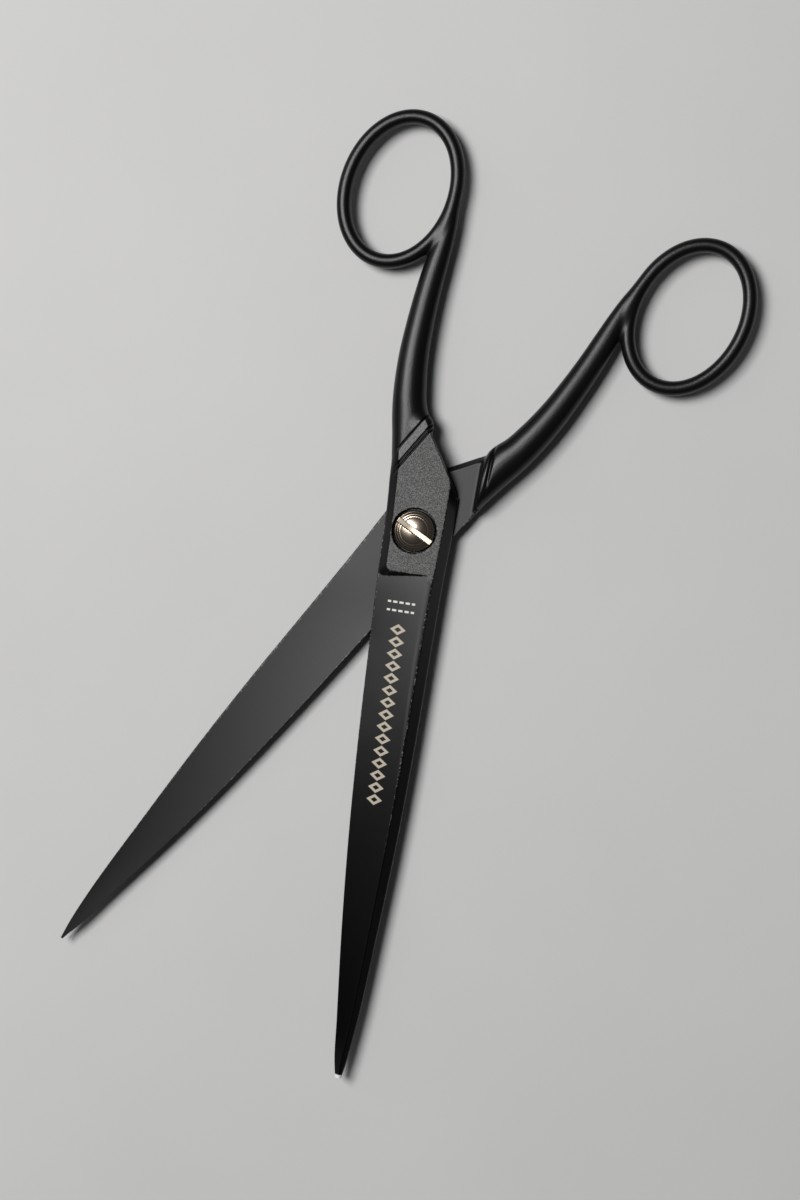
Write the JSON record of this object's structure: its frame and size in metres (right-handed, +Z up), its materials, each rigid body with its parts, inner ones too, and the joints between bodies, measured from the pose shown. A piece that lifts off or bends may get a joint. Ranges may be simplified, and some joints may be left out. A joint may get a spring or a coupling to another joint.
{
  "type": "fabric shears",
  "caption": "Right-handed tailor's shears with long tapered blades, slim round shanks and wide oval finger bows, turning on a slotted screw.",
  "frame": {"origin": "on the pivot screw's axis, at the level of the lower half's flat back, on the screw's flat end", "axes": "+Z up along the pivot screw, towards its slotted head; -Y along the upper half's blade to its tip; +Y to its finger bow"},
  "size_m": [0.1588, 0.2534, 0.0097],
  "materials": {
    "blackened_steel": "satin black coating over forged steel, smooth on the handles and blades, fine-grained on the joint",
    "nickel_steel": "warm nickel, turned"
  },
  "bodies": {
    "upper": {"upper_half": "blackened_steel"},
    "lower": {"lower_half": "blackened_steel", "pivot_screw": "nickel_steel"}
  },
  "joints": [
    {"name": "pivot_hinge", "type": "hinge", "parent": "upper", "child": "lower", "pos_m": [0, 0, 0], "axis": [0, 0, 1], "range_deg": [-78, 33.2]}
  ]
}
